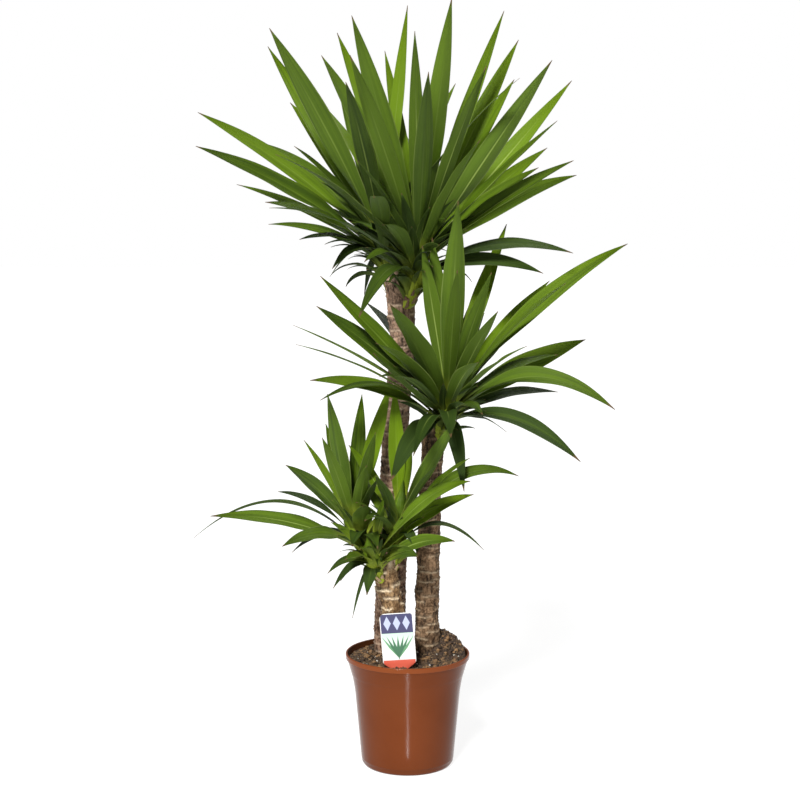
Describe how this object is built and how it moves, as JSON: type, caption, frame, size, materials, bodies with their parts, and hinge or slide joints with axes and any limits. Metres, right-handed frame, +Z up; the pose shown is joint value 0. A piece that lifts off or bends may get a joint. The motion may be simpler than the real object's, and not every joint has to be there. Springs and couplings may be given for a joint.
{
  "type": "potted yucca",
  "caption": "Potted yucca: bare canes of stepped height carry rosettes of long pointed leaves and stand in potting mix in a round tapered nursery pot, with a plant label on a stake.",
  "frame": {"origin": "centre of the pot's flat underside, on the surface that the pot stands on", "axes": "+Z up along the pot's axis, -Y toward the front, from where the label's face and the short cane are seen, +X to the right as seen from the front"},
  "size_m": [0.7275, 0.7107, 1.2991],
  "materials": {
    "pot_plastic": "terracotta-brown moulded plastic, half gloss",
    "potting_mix": "dark damp potting mix with bark chips and white perlite",
    "old_bark": "dry brown bark with pale leaf-scar rings",
    "young_bark": "dry tan bark with papery leaf bases",
    "leaf_green": "waxy green leaves, half gloss, paler along the middle, with dry tips",
    "printed_card": "printed plastic card, smooth"
  },
  "bodies": {
    "root": {"pot": "pot_plastic", "soil": "potting_mix", "cane_tall": "old_bark", "cane_middle": "old_bark", "cane_short": "young_bark", "head_tall": "leaf_green", "head_middle": "leaf_green", "head_short": "leaf_green", "label": "printed_card"}
  },
  "joints": []
}
